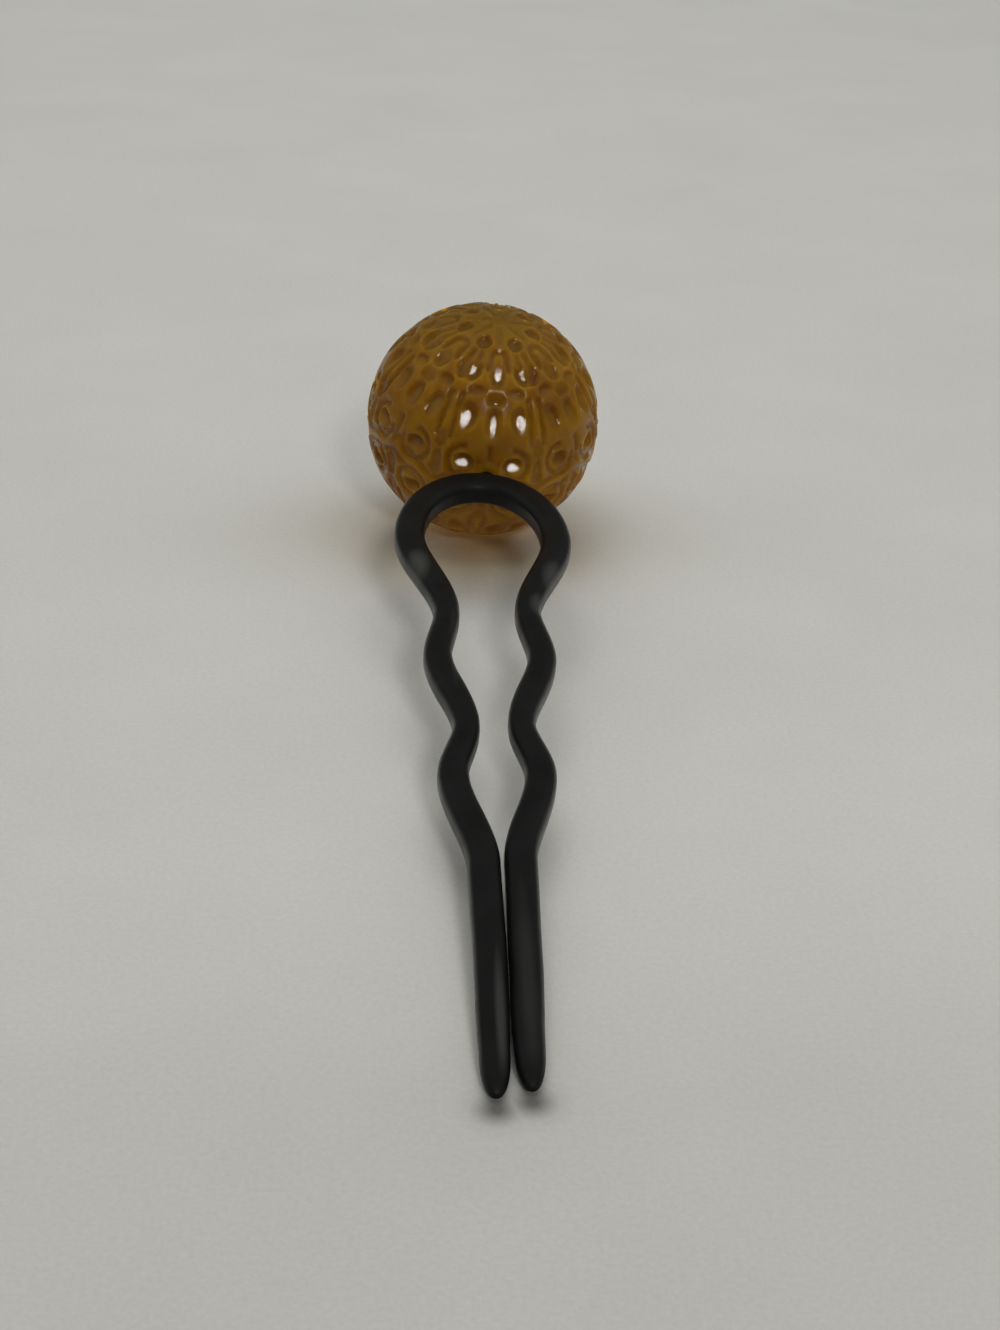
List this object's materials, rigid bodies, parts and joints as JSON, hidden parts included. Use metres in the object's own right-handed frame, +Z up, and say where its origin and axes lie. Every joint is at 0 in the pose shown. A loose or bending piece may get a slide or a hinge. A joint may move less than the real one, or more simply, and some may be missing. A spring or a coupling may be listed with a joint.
{
  "type": "ball hairpin",
  "caption": "Flat waving fork with an arched top and long straight prongs, carrying a carved honey-coloured ball on a peg; it pins up a bun.",
  "frame": {"origin": "middle of the part's footprint box, on the surface that it lies on", "axes": "+Y runs from the prong tips to the ball, +Z is up, +X is to the right when the prong tips point at the viewer"},
  "size_m": [0.0248, 0.1129, 0.025],
  "materials": {
    "ball": "honey-brown see-through resin, carved and polished",
    "fork": "black moulded plastic with a soft sheen"
  },
  "bodies": {
    "root": {"carved_ball": "ball", "hair_fork": "fork"}
  },
  "joints": []
}
